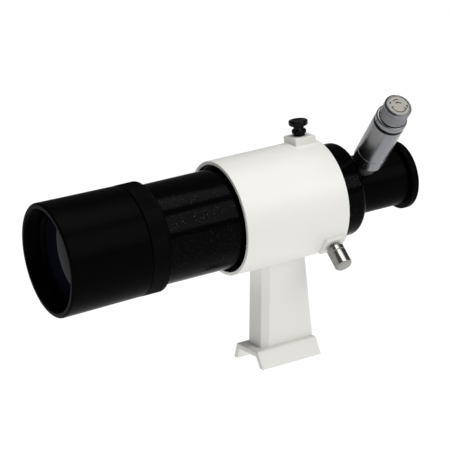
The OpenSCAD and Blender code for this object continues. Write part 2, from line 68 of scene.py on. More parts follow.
class Signal:
    """A node's output that takes part in Python expressions, which add the Math nodes that they need."""

    def __init__(self, graph: "Graph", socket: bpy.types.NodeSocket) -> None:
        """Wraps a socket.

        Args:
            graph: The graph that the socket's node stands in.
            socket: The output to wrap.
        """
        self.graph = graph
        self.socket = socket

    def maths(self, operation: str, *others: "Signal | float") -> "Signal":
        """Adds a Math node that takes this output first.

        Args:
            operation: The Math node's operation.
            others: The node's other values.

        Returns:
            The node's result.
        """
        values = dict(enumerate((self, *others)))
        return self.graph.node("ShaderNodeMath", {"operation": operation}, values)

    def __add__(self, other: "Signal | float") -> "Signal":
        """This plus other."""
        return self.maths("ADD", other)

    def __sub__(self, other: "Signal | float") -> "Signal":
        """This minus other."""
        return self.maths("SUBTRACT", other)

    def __mul__(self, other: "Signal | float") -> "Signal":
        """This times other."""
        return self.maths("MULTIPLY", other)

    def __truediv__(self, other: "Signal | float") -> "Signal":
        """This over other."""
        return self.maths("DIVIDE", other)

    def __rsub__(self, other: float) -> "Signal":
        """A number minus this."""
        return self * -1 + other

    def __gt__(self, other: "Signal | float") -> "Signal":
        """1 where this is greater than other, and 0 elsewhere."""
        return self.maths("GREATER_THAN", other)

    __radd__ = __add__
    __rmul__ = __mul__

    def clamped(self) -> "Signal":
        """This, held between 0 and 1."""
        return self.maths("MAXIMUM", 0.0).maths("MINIMUM", 1.0)

    def ridge(self) -> "Signal":
        """A saw-tooth of this: 1 at whole numbers and 0 half-way between them."""
        return (self.maths("FRACT") * 2 - 1).maths("ABSOLUTE")


class Graph:
    """A node tree of either kind, to which every node is added by one method."""

    def __init__(self, tree: bpy.types.NodeTree) -> None:
        """Wraps a node tree."""
        self.tree = tree

    def node(self, kind: str, settings: dict[str, Any], values: dict[int | str, Any],
             output: int | str = 0) -> Signal:
        """Adds a node.

        Args:
            kind: The node's type.
            settings: Attributes that are set first.
            values: A number, colour or Signal for each input, by its index or name.
            output: The output that the result stands for.

        Returns:
            The chosen output.
        """
        made = self.tree.nodes.new(kind)
        for key, value in settings.items():
            setattr(made, key, value)
        for key, value in values.items():
            if isinstance(value, Signal):
                self.tree.links.new(value.socket, made.inputs[key])
            else:
                made.inputs[key].default_value = value
        return Signal(self, made.outputs[output])

    def axes(self, vector: Signal) -> tuple[Signal, Signal, Signal]:
        """Splits a vector.

        Args:
            vector: The vector to split.

        Returns:
            Its three parts.
        """
        x = self.node("ShaderNodeSeparateXYZ", {}, {0: vector})
        outputs = x.socket.node.outputs
        return x, Signal(self, outputs[1]), Signal(self, outputs[2])


# ---- Lines that pieces stand on ----


@dataclass(frozen=True)
class Span:
    """How far a piece reaches along a spindle and out from it, in millimetres."""

    low: float
    high: float
    radius: float


@dataclass(frozen=True)
class Spindle:
    """A line that turned pieces stand on. Its own frame is in millimetres, with +Z along the line, and its +X
    is the model's X unless the line runs that way, when it is the model's Y."""

    origin: tuple[float, float, float]
    direction: tuple[float, float, float]

    @property
    def placing(self) -> Matrix:
        """The spindle's place in the model.

        Returns:
            The matrix from its frame to the model's.
        """
        out = Vector(self.direction)
        across = Vector((0, 1, 0)) if abs(out.x) > 0.5 else Vector((1, 0, 0))
        turn = Matrix((across, out.cross(across), out)).transposed().to_4x4()
        return Matrix.Translation(self.origin) @ turn @ Matrix.Scale(MM, 4)

    def span(self, *nodes: str) -> Span:
        """Measures CAD nodes.

        Args:
            nodes: The nodes' names.

        Returns:
            Their reach along the spindle and out from it.
        """
        inverse = self.placing.inverted()
        points = [inverse @ v.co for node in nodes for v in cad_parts[node].data.vertices]
        heights = [p.z for p in points]
        return Span(min(heights), max(heights), max(math.hypot(p.x, p.y) for p in points))


def centre(node: str) -> Vector:
    """The middle of a CAD node's box.

    Args:
        node: The node's name.

    Returns:
        The point, in metres.
    """
    low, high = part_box(node)
    return (low + high) / 2


def tube_spindle() -> Spindle:
    """The line down the middle of the tube, whose heights are the model's X."""
    middle = centre("main_tube")
    return Spindle((0.0, 0.0, middle.z), (1.0, 0.0, 0.0))


def outward_spindle(node: str) -> Spindle:
    """The line out from the tube's axis through a round piece that stands on the tube or the ring.

    Args:
        node: The piece's CAD node.

    Returns:
        The line, whose heights are distances from the tube's axis.
    """
    middle = centre(node)
    axis_z = centre("main_tube").z
    out = Vector((0.0, middle.y, middle.z - axis_z)).normalized()
    return Spindle((middle.x, 0.0, axis_z), tuple(out))


BENCH = Spindle((0.0, 0.0, 0.0), (0.0, 0.0, 1.0))


# ---- Mesh making ----


def eased(outline: Outline, ease: float, steps: int = 3, on_axis: bool = True) -> Points:
    """Rounds the corners of a closed outline, with a point either side that keeps the flats flat.

    Args:
        outline: The corners, as (radius, height) or (across, up).
        ease: How far back from a corner its round starts.
        steps: How many straight pieces make a round.
        on_axis: Whether corners of no radius are on the line that it is turned about, and stay as they are.

    Returns:
        The rounded outline.
    """
    made: Points = []
    for index, point in enumerate(outline):
        corner = Vector(point)
        back = Vector(outline[index - 1]) - corner
        on = Vector(outline[(index + 1) % len(outline)]) - corner
        if on_axis and corner.x < 1e-6 or back.angle(on) > math.radians(160):
            made.append(point)
            continue
        reach = min(ease, 0.36 * back.length, 0.36 * on.length)
        start, end = corner + back.normalized() * reach, corner + on.normalized() * reach
        made.append(tuple(start + back.normalized() * reach * 0.3))
        for step in range(steps + 1):
            t = step / steps
            made.append(tuple(start * (1 - t) ** 2 + corner * 2 * t * (1 - t) + end * t * t))
        made.append(tuple(end + on.normalized() * reach * 0.3))
    return made


def arc(middle: tuple[float, float], radius: float, first: float, last: float, steps: int = 10) -> Points:
    """Points on an arc.

    Args:
        middle: The arc's centre.
        radius: Its radius.
        first: The first angle, in degrees.
        last: The last angle.
        steps: How many straight pieces it has.

    Returns:
        The points.
    """
    angles = [math.radians(first + (last - first) * k / steps) for k in range(steps + 1)]
    return [(middle[0] + radius * math.cos(a), middle[1] + radius * math.sin(a)) for a in angles]


def rows(start: tuple[float, float], end: tuple[float, float], step: float) -> Points:
    """Points along a straight line, close enough together for a relief to be pressed into it.

    Args:
        start: The first point.
        end: The last point.
        step: The greatest distance between points.

    Returns:
        The points.
    """
    a, b = Vector(start), Vector(end)
    count = max(1, math.ceil((b - a).length / step))
    return [tuple(a.lerp(b, k / count)) for k in range(count + 1)]


def dome(radius: float, edge: float, rise: float, steps: int = 24) -> Points:
    """Points on a lens's face, from the axis to the face's edge.

    Args:
        radius: The face's radius.
        edge: The height of its edge.
        rise: How far its middle stands above its edge, less than nothing if it is below.
        steps: How many straight pieces it has.

    Returns:
        The points.
    """
    return [(radius * k / steps, edge + rise * (1 - (k / steps) ** 2)) for k in range(steps + 1)]


def turned(outline: Outline, segments: int) -> bmesh.types.BMesh:
    """Turns a closed outline about the Z axis.

    Args:
        outline: The outline, as (radius, height).
        segments: How many steps go round.

    Returns:
        A closed shell.
    """
    bm = bmesh.new()
    angles = [TURN * k / segments for k in range(segments)]
    rings = [
        [bm.verts.new((0, 0, height))] if radius < 1e-6
        else [bm.verts.new((radius * math.cos(a), radius * math.sin(a), height)) for a in angles]
        for radius, height in outline
    ]
    for ring, after in zip(rings, rings[1:] + rings[:1]):
        if len(ring) == len(after) == 1:
            continue
        for k in range(segments):
            corners = (ring[k % len(ring)], ring[(k + 1) % len(ring)],
                       after[(k + 1) % len(after)], after[k % len(after)])
            bm.faces.new(list(dict.fromkeys(corners)))
    bmesh.ops.recalc_face_normals(bm, faces=bm.faces)
    return bm


def inset(outline: Outline, distance: float) -> Points:
    """Moves the sides of a closed outline inwards.

    Args:
        outline: The outline.
        distance: How far its sides move.

    Returns:
        The smaller outline, with as many corners.
    """
    corners = [Vector(point) for point in outline]
    area = sum(a.cross(b) for a, b in zip(corners, corners[1:] + corners[:1]))
    made = []
    for index, corner in enumerate(corners):
        before = (corner - corners[index - 1]).normalized().orthogonal()
        after = (corners[(index + 1) % len(corners)] - corner).normalized().orthogonal()
        step = (before + after) / (1 + before.dot(after))
        made.append(tuple(corner + step * math.copysign(distance, area)))
    return made


def stacked(plans: Sequence[tuple[Outline, float]], upright: bool = True) -> bmesh.types.BMesh:
    """Joins outlines that have as many corners each, one above the other.

    Args:
        plans: Each outline and its height.
        upright: True if heights are along Z, and False if they are along X, with outlines in Y and Z.

    Returns:
        A closed shell.
    """
    bm = bmesh.new()
    rings = [[bm.verts.new((a, b, height) if upright else (height, a, b)) for a, b in plan]
             for plan, height in plans]
    caps = [bm.faces.new(rings[0][::-1]), bm.faces.new(rings[-1])]
    bmesh.ops.triangulate(bm, faces=caps, ngon_method="EAR_CLIP")
    for ring, after in zip(rings, rings[1:]):
        for k in range(len(ring)):
            on = (k + 1) % len(ring)
            bm.faces.new((ring[k], ring[on], after[on], after[k]))
    bmesh.ops.recalc_face_normals(bm, faces=bm.faces)
    if bm.calc_volume(signed=True) < 0:
        bmesh.ops.reverse_faces(bm, faces=bm.faces)
    return bm


def soft_ends(plan: Outline, low: float, high: float, ease: float) -> list[tuple[Outline, float]]:
    """An outline at the heights that give a solid with rounded ends.

    Args:
        plan: The outline.
        low: The solid's low end.
        high: Its high end.
        ease: The rounds' radius.

    Returns:
        The outlines and heights, for stacked.
    """
    steps = [(1 - math.sin(a), 1 - math.cos(a)) for a in map(math.radians, (0, 30, 60, 90))]
    ends = [(inset(plan, ease * i), ease * h) for i, h in steps] + [(list(plan), ease * 1.3)]
    return [(p, low + h) for p, h in ends] + [(p, high - h) for p, h in reversed(ends)]


def shade_by_angle(mesh: bpy.types.Mesh, degrees: float) -> None:
    """Shades a mesh smooth, apart from edges sharper than an angle.

    Args:
        mesh: The mesh.
        degrees: The angle.
    """
    mesh.shade_smooth()
    mesh.set_sharp_from_angle(angle=math.radians(degrees))


def bare(bm: bmesh.types.BMesh, name: str) -> bpy.types.Object:
    """Makes an object of a mesh, still in the frame that it was built in.

    Args:
        bm: The mesh, which is freed.
        name: The object's name.

    Returns:
        The object.
    """
    mesh = bpy.data.meshes.new(name)
    bm.to_mesh(mesh)
    bm.free()
    piece = bpy.data.objects.new(name, mesh)
    bpy.context.scene.collection.objects.link(piece)
    return piece


def placed(bm: bmesh.types.BMesh, name: str, spindle: Spindle, sharp: float = 32) -> bpy.types.Object:
    """Makes an object of a mesh that was built in a spindle's frame.

    Args:
        bm: The mesh, which is freed.
        name: The object's name.
        spindle: The line that it stands on.
        sharp: The angle above which edges stay sharp, in degrees.

    Returns:
        The object, with its place in its mesh.
    """
    piece = bare(bm, name)
    piece.data.transform(spindle.placing)
    shade_by_angle(piece.data, sharp)
    return piece


class Join(Enum):
    """How one solid meets another."""

    ADD = "UNION"
    CUT = "DIFFERENCE"


def joined(base: bpy.types.Object, others: Iterable[bpy.types.Object], way: Join) -> None:
    """Adds solids to a base, or cuts them from it, and removes them.

    Args:
        base: The solid that is kept.
        others: The solids that are used up.
        way: Whether they are added or cut.
    """
    for other in others:
        modifier = base.modifiers.new(way.name, "BOOLEAN")
        modifier.operation, modifier.solver, modifier.object = way.value, "MANIFOLD", other
        evaluated = base.evaluated_get(bpy.context.evaluated_depsgraph_get())
        mesh = bpy.data.meshes.new_from_object(evaluated)
        base.modifiers.remove(modifier)
        base.data = mesh
        bpy.data.objects.remove(other)
    bm = bmesh.new()
    bm.from_mesh(base.data)
    bmesh.ops.dissolve_degenerate(bm, dist=SLIVER, edges=bm.edges)
    bm.to_mesh(base.data)
    bm.free()


# ---- Repeated shapes, made by Geometry Nodes ----


class Relief(Enum):
    """What is pressed into a turned surface: how much of a second row of grooves crosses the first."""

    ONE_WAY = 0.0
    DIAMOND = 1.0


def new_tree(name: str, inputs: Sequence[tuple[str, str]]) -> tuple[Graph, dict[str, Signal]]:
    """Starts a Geometry Nodes tree.

    Args:
        name: The tree's name.
        inputs: Each input's name and the kind of its socket.

    Returns:
        The graph, and its inputs by name.
    """
    tree = bpy.data.node_groups.new(name, "GeometryNodeTree")
    for title, kind in inputs:
        tree.interface.new_socket(name=title, in_out="INPUT", socket_type="NodeSocket" + kind)
    tree.interface.new_socket(name="Geometry", in_out="OUTPUT", socket_type="NodeSocketGeometry")
    graph = Graph(tree)
    entry = tree.nodes.new("NodeGroupInput")
    return graph, {title: Signal(graph, entry.outputs[title]) for title, _ in inputs}


def close_tree(graph: Graph, geometry: Signal, material: Signal) -> bpy.types.NodeTree:
    """Ends a tree in Realize Instances and Set Material.

    Args:
        graph: The tree's graph.
        geometry: What it has made.
        material: The finish to set.

    Returns:
        The tree.
    """
    real = graph.node("GeometryNodeRealizeInstances", {}, {0: geometry})
    dressed = graph.node("GeometryNodeSetMaterial", {}, {"Geometry": real, "Material": material})
    graph.tree.links.new(dressed.socket, graph.tree.nodes.new("NodeGroupOutput").inputs[0])
    return graph.tree


def knurl_tree() -> bpy.types.NodeTree:
    """Makes the tree that presses a knurl or a thread into a turned surface.

    Returns:
        The tree.
    """
    graph, given = new_tree("knurl", [
        ("Geometry", "Geometry"), ("Rim", "Float"), ("Low", "Float"), ("High", "Float"), ("Fade", "Float"),
        ("Count", "Float"), ("Slant", "Float"), ("Cross", "Float"), ("Depth", "Float"),
        ("Material", "Material"),
    ])
    x, y, z = graph.axes(graph.node("GeometryNodeInputPosition", {}, {}))
    radius = (x * x + y * y).maths("SQRT")
    turn = y.maths("ARCTAN2", x) / TURN * given["Count"]
    lean = z * given["Slant"]
    first = (turn + lean).ridge()
    second = (turn - lean).ridge() * given["Cross"] + (1 - given["Cross"])
    ends = ((z - given["Low"]) / given["Fade"]).clamped() * ((given["High"] - z) / given["Fade"]).clamped()
    pressed = (1 - first.maths("MINIMUM", second)) * ends * (radius > given["Rim"])
    scale = pressed * given["Depth"] / radius * -1
    offset = graph.node("ShaderNodeCombineXYZ", {}, {0: x * scale, 1: y * scale})
    moved = graph.node("GeometryNodeSetPosition", {}, {"Geometry": given["Geometry"], "Offset": offset})
    return close_tree(graph, moved, given["Material"])


def marks_tree() -> bpy.types.NodeTree:
    """Makes the tree that sets a row of printed marks round an arc.

    Returns:
        The tree.
    """
    graph, given = new_tree("dial_marks", [
        ("Geometry", "Geometry"), ("Count", "Int"), ("Radius", "Float"), ("Start", "Float"),
        ("Step", "Float"), ("Size", "Vector"), ("Height", "Float"), ("Material", "Material"),
    ])
    mark = graph.node("GeometryNodeMeshCube", {}, {"Size": given["Size"]})
    away = graph.node("ShaderNodeCombineXYZ", {}, {0: given["Radius"], 2: given["Height"]})
    set_out = graph.node("GeometryNodeTransform", {}, {"Geometry": mark, "Translation": away})
    spots = graph.node("GeometryNodeMeshLine", {}, {"Count": given["Count"], "Offset": (0, 0, 0)})
    angle = graph.node("GeometryNodeInputIndex", {}, {}) * given["Step"] + given["Start"]
    about = graph.node("ShaderNodeCombineXYZ", {}, {2: angle})
    turned_by = graph.node("FunctionNodeEulerToRotation", {}, {0: about})
    row = graph.node("GeometryNodeInstanceOnPoints", {},
                     {"Points": spots, "Instance": set_out, "Rotation": turned_by})
    return close_tree(graph, row, given["Material"])


def grown(piece: bpy.types.Object, tree: bpy.types.NodeTree, values: dict[str, Any]) -> None:
    """Runs a tree on a piece and keeps its result as a plain mesh.

    Args:
        piece: The piece, still in its spindle's frame.
        tree: The Geometry Nodes tree.
        values: The tree's inputs, by name.
    """
    modifier = piece.modifiers.new("shape", "NODES")
    modifier.node_group = tree
    sockets = {item.name: item.identifier for item in tree.interface.items_tree if item.in_out == "INPUT"}
    for title, value in values.items():
        modifier[sockets[title]] = value
    evaluated = piece.evaluated_get(bpy.context.evaluated_depsgraph_get())
    mesh = bpy.data.meshes.new_from_object(evaluated)
    piece.modifiers.remove(modifier)
    piece.data = mesh


# ---- Finishes ----

FLECK_COLOUR = (0.06, 0.06, 0.065, 1)


@dataclass(frozen=True)
class Finish:
    """A surface's colour and gloss, and how they vary over a real one. Lengths are in millimetres."""

    name: str
    colour: Colour
    roughness: float
    metallic: float = 0.0
    specular: float = 0.5
    glow: float = 0.0
    drift: float = 0.06
    drift_size: float = 9.0
    rough_drift: float = 0.15
    grain_size: float = 0.5
    grain_height: float = 0.004
    line_pitch: float = 0.0
    line_height: float = 0.0
    fleck: float = 0.0
    fleck_size: float = 0.2

    def noise(self, graph: Graph, place: Signal, size: float, detail: float = 2.0) -> Signal:
        """A noise of about one grain for each size.

        Args:
            graph: The material's graph.
            place: Where on the piece.
            size: The grain's size.
            detail: How many finer layers it has.

        Returns:
            The noise, from 0 to 1.
        """
        return graph.node("ShaderNodeTexNoise", {"noise_dimensions": "3D"},
                          {"Vector": place, "Scale": 1 / (size * MM), "Detail": detail, "Roughness": 0.55})

    def material(self, spindle: Spindle = BENCH) -> bpy.types.Material:
        """Makes the finish, or finds it if it has been made.

        Args:
            spindle: The line that the piece was turned about, for the lathe's lines.

        Returns:
            The material.
        """
        title = self.name
        if self.line_pitch:
            title += "." + "_".join(f"{part:.3f}" for part in spindle.direction)
        if title in bpy.data.materials:
            return bpy.data.materials[title]
        made = bpy.data.materials.new(title)
        made.use_nodes = True
        graph = Graph(made.node_tree)
        shader = made.node_tree.nodes["Principled BSDF"]
        for socket, value in (("Specular IOR Level", self.specular), ("Emission Color", (*self.colour, 1)),
                              ("Emission Strength", self.glow)):
            shader.inputs[socket].default_value = value
        coords = graph.node("ShaderNodeTexCoord", {}, {}, "Object")
        cloud = self.noise(graph, coords, self.drift_size)
        grain = self.noise(graph, coords, self.grain_size, 3.0)
        height = grain * self.grain_height
        patches = (cloud - 0.5) * 2 * self.rough_drift + (grain - 0.5) * self.rough_drift
        rough = self.roughness * (1 + patches)
        if self.line_pitch:
            along = graph.node("ShaderNodeVectorMath", {"operation": "DOT_PRODUCT"},
                               {0: coords, 1: Vector(spindle.direction)}, "Value")
            stretched = graph.node("ShaderNodeCombineXYZ", {}, {0: along / (self.line_pitch * MM)})
            lines = graph.node("ShaderNodeTexNoise", {"noise_dimensions": "3D"},
                               {"Vector": stretched, "Scale": 1.0, "Detail": 3.0, "Roughness": 0.7})
            height = height + lines * self.line_height
            rough = rough + (lines - 0.5) * self.roughness * 0.5
        shift = 1 + (cloud - 0.5) * 2 * self.drift
        colour = graph.node("ShaderNodeVectorMath", {"operation": "SCALE"},
                            {0: self.colour, "Scale": shift})
        if self.fleck:
            cells = graph.node("ShaderNodeTexVoronoi", {},
                               {"Vector": coords, "Scale": 1 / (self.fleck_size * MM)}, "Color")
            chance, shine, _ = graph.axes(cells)
            metal = chance > 1 - self.fleck
            colour = graph.node("ShaderNodeMix", {"data_type": "RGBA"},
                                {"Factor": metal * (0.3 + 0.7 * shine), 6: colour, 7: FLECK_COLOUR}, 2)
            self.link(graph, metal * 0.9 + self.metallic, shader, "Metallic")
        else:
            shader.inputs["Metallic"].default_value = self.metallic
        self.link(graph, colour, shader, "Base Color")
        self.link(graph, rough.clamped(), shader, "Roughness")
        bump = graph.node("ShaderNodeBump", {}, {"Strength": 1.0, "Distance": MM, "Height": height})
        self.link(graph, bump, shader, "Normal")
        return made

    @staticmethod
    def link(graph: Graph, value: Signal, shader: bpy.types.Node, socket: str) -> None:
        """Links a value to one of the shader's sockets."""
        graph.tree.links.new(value.socket, shader.inputs[socket])


ENAMEL = Finish("white_enamel", (0.80, 0.79, 0.745), 0.42, drift=0.012, drift_size=14.0, rough_drift=0.12,
                grain_size=0.9, grain_height=0.008)
FLECKED_BLACK = Finish("flecked_gloss_black", (0.0013, 0.0013, 0.0015), 0.13, specular=0.02, drift=0.15,
                       grain_height=0.0004, fleck=0.008)
SATIN_BLACK = Finish("satin_black", (0.0014, 0.0014, 0.0017), 0.3, specular=0.012, drift=0.12,
                     grain_size=0.25, grain_height=0.003, line_pitch=0.3, line_height=0.002)
MATT_BLACK = Finish("matt_black", (0.0009, 0.0009, 0.0012), 0.4, specular=0.02, drift=0.15,
                    grain_height=0.003)
FLAT_BLACK = Finish("flat_black", (0.0015, 0.0015, 0.0015), 0.85, specular=0.05, drift=0.2, grain_size=0.3,
                    grain_height=0.02)
# Painted shade: the bracket's bore is white enamel like the rest of it, but it gets this near-black,
# teal-tinted colour for the shadow in the narrow gap round the tube.
BORE_PAINTED_SHADE = Finish("bore_painted_shade", (0.004, 0.006, 0.007), 0.3, specular=0.15, drift=0.2, grain_size=0.6,
                    grain_height=0.004)
RUBBER = Finish("black_rubber", (0.003, 0.003, 0.003), 0.55, specular=0.1, grain_size=0.3, grain_height=0.01)
MOULDED_BLACK = Finish("moulded_black", (0.0022, 0.0022, 0.003), 0.24, specular=0.12, grain_size=0.35,
                       grain_height=0.006)
GUNMETAL = Finish("knurled_gunmetal", (0.075, 0.075, 0.082), 0.3, metallic=1.0, grain_size=0.3,
                  grain_height=0.006)
SATIN_SILVER = Finish("satin_silver", (0.23, 0.235, 0.25), 0.25, metallic=1.0, drift=0.03, rough_drift=0.1,
                      grain_size=0.25, grain_height=0.002, line_pitch=0.12, line_height=0.002)
STEEL = Finish("turned_steel", (0.30, 0.292, 0.272), 0.16, metallic=1.0, drift=0.04, rough_drift=0.2,
               grain_size=0.4, grain_height=0.001, line_pitch=0.15, line_height=0.002)
BRASS = Finish("plain_brass", (0.70, 0.52, 0.24), 0.3, metallic=1.0, line_pitch=0.2, line_height=0.003)
NYLON = Finish("white_nylon", (0.76, 0.74, 0.66), 0.55, grain_size=0.4, grain_height=0.01)
LABEL_CARD = Finish("label_card", (0.36, 0.345, 0.31), 0.5, specular=0.3, drift=0.03, grain_size=0.2,
                    grain_height=0.002)
LABEL_INK = Finish("label_ink", (0.012, 0.011, 0.009), 0.5, specular=0.2, drift=0.2, grain_size=0.2,
                   grain_height=0.002)
GLASS = Finish("coated_glass", (0.004, 0.005, 0.009), 0.04, specular=0.025, drift=0.1, drift_size=14.0,
               rough_drift=0.1, grain_size=3.0, grain_height=0.0005)
FOIL = Finish("bright_foil", (0.6, 0.6, 0.6), 0.25, metallic=1.0)
LED_RED = Finish("led_lens", (0.7, 0.03, 0.02), 0.15, drift=0.05)
BOARD_GREEN = Finish("circuit_board", (0.02, 0.16, 0.05), 0.4, drift=0.1, grain_size=0.6, grain_height=0.01)
FLOOR_PAPER = Finish("floor_paper", (0.12, 0.12, 0.12), 0.9, specular=0.1, glow=8.0, drift=0.01,
                     drift_size=400.0, grain_size=3.0, grain_height=0.01)


# ---- The pieces ----


def settle(piece: bpy.types.Object, finish: Finish, spindle: Spindle, body: str, slot: str,
           *nodes: str) -> None:
    """Dresses a finished piece and puts it on its body in place of its CAD nodes.

    Args:
        piece: The piece.
        finish: Its finish.
        spindle: The line that it was turned about.
        body: The body that it rides on.
        slot: The record's slot for its finish; not used.
        nodes: The CAD nodes that it stands for.
    """
    if not piece.data.materials:
        piece.data.materials.append(finish.material(spindle))
    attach(piece, body)
    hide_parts(*nodes)
    log.info("%s: %d faces on %s", piece.name, len(piece.data.polygons), body)


@dataclass
class Turner:
    """Makes pieces that are turned about one line."""

    spindle: Spindle
    segments: int = MIDDLING

    def piece(self, name: str, outline: Outline, finish: Finish, body: str, slot: str, nodes: Sequence[str],
              ease: float = 0.2, steps: int = 3) -> None:
        """Turns, dresses and places a piece.

        Args:
            name: The piece's name.
            outline: Its outline, as (radius, height).
            finish: Its finish.
            body: The body that it rides on.
            slot: The record's slot.
            nodes: The CAD nodes that it stands for.
            ease: How far its corners are rounded.
            steps: How many straight pieces make a round.
        """
        made = placed(turned(eased(outline, ease, steps), self.segments), name, self.spindle)
        settle(made, finish, self.spindle, body, slot, *nodes)

    def knurled(self, name: str, outline: Outline, finish: Finish, body: str, slot: str, nodes: Sequence[str],
                relief: Relief, **sizes: float) -> None:
        """Turns a piece and presses a knurl or a thread into it.

        Args:
            name: The piece's name.
            outline: Its outline, with rows close together where the relief goes.
            finish: Its finish.
            body: The body that it rides on.
            slot: The record's slot.
            nodes: The CAD nodes that it stands for.
            relief: The kind of relief.
            sizes: The tree's rim, low, high, fade, count, slant and depth.
        """
        made = bare(turned(outline, self.segments), name)
        values = {key.title(): value for key, value in sizes.items()}
        grown(made, bpy.data.node_groups.get("knurl") or knurl_tree(),
              {**values, "Cross": relief.value, "Material": finish.material(self.spindle)})
        made.data.transform(self.spindle.placing)
        shade_by_angle(made.data, 22)
        settle(made, finish, self.spindle, body, slot, *nodes)


@dataclass
class Bracket:
    """The painted bracket: a bored ring on a tapered post with a bent dovetail foot, and three pads."""

    bore_gap: float = 2.05
    wall: float = 2.1
    land_gap: float = 1.5
    land_length: float = 10.0
    pad_width: float = 12.6
    foot_plate: float = 3.2
    foot_base: float = 31.0
    foot_top: float = 22.0
    foot_height: float = 9.0
    foot_length: float = 36.5
    post_width: float = 16.6
    post_face: float = 12.4
    post_chamfer: float = 4.2
    post_top: float = 25.6
    post_base: float = 31.6
    post_rear: float = 18.0
    ease: float = 0.45
    mouth_flare: float = 1.5
    mouth_ease: float = 0.3
    seal_room: float = 1.8

    def ring(self, line: Spindle, reach: Span, tube: Span) -> bpy.types.Object:
        """The ring, before it is bored.

        Args:
            line: The tube's line.
            reach: The ring's reach along it.
            tube: The tube's size.

        Returns:
            The solid.
        """
        outer = tube.radius + self.bore_gap + self.wall
        inner = tube.radius
        outline = [(inner, reach.low), (outer, reach.low), (outer, reach.high), (inner, reach.high)]
        return placed(turned(eased(outline, 0.5, 4), LARGE), "ring_blank", line)

    def bore(self, line: Spindle, reach: Span, tube: Span) -> bpy.types.Object:
        """The tool that bores the ring: the O-ring's land and groove, the wide bore, and its eased mouths.

        Args:
            line: The tube's line.
            reach: The ring's reach along it.
            tube: The tube's size.

        Returns:
            The solid to cut.
        """
        land = tube.radius + self.land_gap
        wide = tube.radius + self.bore_gap
        shoulder = reach.low + self.land_length
        seal = line.span("pivot_oring")
        mid = (seal.low + seal.high) / 2
        groove, room = seal.radius + 0.1, self.seal_room
        flare, mouth, past = wide + self.mouth_flare, wide + self.mouth_ease + 0.02, 0.02
        profile = [(0, reach.low - 1), (flare, reach.low - 1), (mouth, reach.low - past),
                   (wide, reach.low + self.mouth_ease), (wide, mid - room - 0.8), (land, mid - room - 0.4),
                   (land, mid - room), (groove, mid - room), (groove, mid + room), (land, mid + room),
                   (land, shoulder), (wide, shoulder + 0.4), (wide, reach.high - self.mouth_ease),
                   (mouth, reach.high + past), (flare, reach.high + 1), (0, reach.high + 1)]
        return placed(turned(profile, LARGE), "bore", line)

    def foot_profile(self) -> Points:
        """The foot's end view: a plate bent into a top and two flared legs.

        Returns:
            The outline, as (across, up).
        """
        half = self.foot_plate / 2
        bend = (self.foot_top / 2 - half * 0.6, self.foot_height - half)
        end = (self.foot_base / 2 - half, 0.0)
        lean = math.atan2(bend[1], end[0] - bend[0])
        tilt = 90 - math.degrees(lean)
        side = [*arc(bend, half, 90, tilt, 8), *arc(end, half, tilt, 0, 8),
                (end[0] - half / math.sin(lean), 0.0), (bend[0] - half * math.tan(lean / 2), bend[1] - half)]
        return side + [(-y, z) for y, z in reversed(side)]

    def foot(self) -> bpy.types.Object:
        """The foot, along the model's X.

        Returns:
            The solid.
        """
        half = self.foot_length / 2
        plans = soft_ends(self.foot_profile(), -half, half, self.ease)
        return placed(stacked(plans, upright=False), "foot_blank", BENCH)

    def post(self, low: float, high: float) -> bpy.types.Object:
        """The post, which tapers from the foot to the ring.

        Args:
            low: The height of its root, inside the foot's plate.
            high: The height of its top, inside the ring.

        Returns:
            The solid.
        """
        plans = []
        for length, z in ((self.post_base, low), (self.post_top, high)):
            front, half, face = self.post_rear - length, self.post_width / 2, self.post_face / 2
            plan = [(front, -face), (front + self.post_chamfer, -half), (self.post_rear, -half),
                    (self.post_rear, half), (front + self.post_chamfer, half), (front, face)]
            plans.append((eased(plan, self.ease, 2, on_axis=False), z))
        return placed(stacked(plans), "post_blank", BENCH)

    def pad(self, node: str, top: float, root: float) -> bpy.types.Object:
        """A square pad under a screw or the plunger.

        Args:
            node: A CAD node that stands on the pad.
            top: The pad's height from the tube's axis.
            root: Where it starts, inside the ring's wall.

        Returns:
            The solid.
        """
        half = self.pad_width / 2
        square = [(-half, -half), (half, -half), (half, half), (-half, half)]
        plan = eased(square, self.ease, 2, on_axis=False)
        block = stacked(soft_ends(plan, root, top, self.ease * 0.8))
        return placed(block, node + "_pad", outward_spindle(node))

    def paint(self, blank: bpy.types.Object, axis_height: float, bore: float) -> None:
        """Gives the bracket its enamel outside, and paints shade onto its bore: a near-black colour for the
        shadow in the narrow gap round the tube.

        Args:
            blank: The bracket.
            axis_height: The tube's axis above the foot.
            bore: The greatest radius that counts as the bore.
        """
        mesh = blank.data
        mesh.materials.clear()
        mesh.materials.append(ENAMEL.material())
        mesh.materials.append(BORE_PAINTED_SHADE.material())
        # Painted shade: faces inside the bore that look towards the tube's axis get the dark painted-shade
        # finish in place of the enamel.
        for face in mesh.polygons:
            out = Vector((0, face.center.y, face.center.z - axis_height * MM))
            inward = -face.normal.dot(out.normalized()) > 0.3
            face.material_index = int(inward and out.length < bore * MM)

    def build(self) -> None:
        """Makes, joins and dresses the bracket."""
        line = tube_spindle()
        tube = line.span("main_tube")
        low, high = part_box("bracket")
        reach = Span(low.x / MM, high.x / MM, 0.0)
        axis_height = line.origin[2] / MM
        screw_face = outward_spindle("top_lock_nut").span("top_lock_nut").low - 0.05
        plunger_face = outward_spindle("plunger_cap").span("plunger_cap").high - PLUNGER_REACH
        root = tube.radius + 0.5
        blank = self.ring(line, reach, tube)
        joined(blank, [
            self.post(self.foot_height - self.foot_plate / 2, axis_height - tube.radius - 1.0),
            self.foot(),
            self.pad("top_lock_nut", screw_face, root),
            self.pad("side_lock_nut", screw_face, root),
            self.pad("plunger_cap", plunger_face, root),
        ], Join.ADD)
        joined(blank, [self.bore(line, reach, tube)], Join.CUT)
        blank.name = "ring_bracket"
        self.paint(blank, axis_height, tube.radius + self.bore_gap + 0.1)
        shade_by_angle(blank.data, 30)
        settle(blank, ENAMEL, BENCH, "bracket", "white_paint", "bracket")


